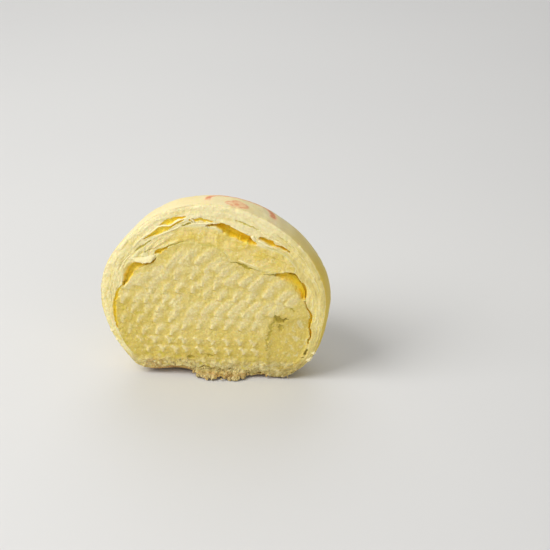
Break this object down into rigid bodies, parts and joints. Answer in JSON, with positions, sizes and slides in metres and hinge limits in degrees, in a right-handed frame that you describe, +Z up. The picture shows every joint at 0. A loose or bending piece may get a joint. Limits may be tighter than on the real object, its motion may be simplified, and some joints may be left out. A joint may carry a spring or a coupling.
{
  "type": "mung bean mooncake half",
  "caption": "Half of a round flaky mung bean mooncake, cut side showing layered pastry, soft inner dough and grainy bean paste, resting on its flat base.",
  "frame": {"origin": "middle of the footprint, at the height of the flat base it rests on", "axes": "+Z up, +X to the right as the cut face is looked at, the cut face looks along -Y and the round back along +Y"},
  "size_m": [0.0702, 0.039, 0.058],
  "materials": {
    "flaky_pastry": "matt baked flaky pastry, pale cream",
    "inner_dough": "soft waxy dough, deeper yellow",
    "mung_bean_paste": "dry grainy bean paste, pale yellow"
  },
  "bodies": {
    "root": {"flaky_pastry": "flaky_pastry", "inner_dough": "inner_dough", "mung_bean_paste": "mung_bean_paste"}
  },
  "joints": []
}
